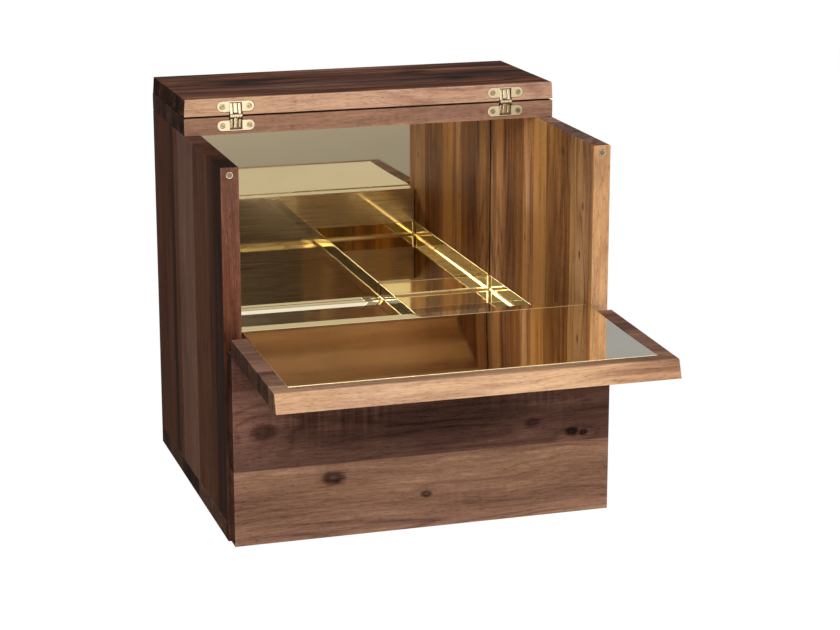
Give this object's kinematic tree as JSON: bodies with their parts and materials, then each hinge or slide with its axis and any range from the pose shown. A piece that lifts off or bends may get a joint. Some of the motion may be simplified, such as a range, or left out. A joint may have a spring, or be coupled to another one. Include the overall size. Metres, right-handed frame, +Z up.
{
  "type": "bar cabinet",
  "caption": "Cubic walnut bar cabinet with a folding half lid, a brass-lined drop flap, a mirrored back and a brass tray that slides on rails over a deep bottle well.",
  "frame": {"origin": "bottom centre of the bounding box with the lid folded back and the flap down, on the floor plane", "axes": "+Z up, -Y to the front where the flap drops, +X to the right as seen from the front"},
  "size_m": [0.45, 0.6068, 0.4685],
  "materials": {
    "walnut": "oiled, satin",
    "brass": "polished",
    "mirror": "warm tinted mirror",
    "steel": "turned pin"
  },
  "bodies": {
    "carcass": {"bottom_board": "walnut", "side_left": "walnut", "side_right": "walnut", "back_board": "walnut", "top_rear": "walnut", "front_panel": "walnut", "well_front": "walnut", "back_lining": "brass", "front_lining": "brass", "rim_cap": "brass", "rail_front": "brass", "rail_back": "brass", "catch_left": "brass", "catch_right": "brass", "lid_leaf_fixed_left": "brass", "flap_leaf_fixed_left": "brass", "lid_leaf_fixed_right": "brass", "flap_leaf_fixed_right": "brass", "lid_pin_left": "steel", "flap_pin_left": "steel", "lid_pin_right": "steel", "flap_pin_right": "steel", "mirror": "mirror"},
    "lid": {"lid_front": "walnut", "lid_leaf_moving_left": "brass", "lid_leaf_moving_right": "brass"},
    "flap": {"flap": "walnut", "flap_sheet": "brass", "flap_leaf_moving_left": "brass", "flap_leaf_moving_right": "brass"},
    "tray": {"tray": "brass"}
  },
  "joints": [
    {"name": "lid_fold", "type": "hinge", "parent": "carcass", "child": "lid", "pos_m": [0, 0.11196, 0.4474], "axis": [1, 0, 0], "range_deg": [0, 180.55]},
    {"name": "flap_drop", "type": "hinge", "parent": "carcass", "child": "flap", "pos_m": [0, -0.08879, 0.23005], "axis": [-1, 0, 0], "range_deg": [0, 91.4]},
    {"name": "tray_slide", "type": "slide", "parent": "carcass", "child": "tray", "axis": [-1, 0, 0], "range_m": [0, 0.2588]}
  ]
}
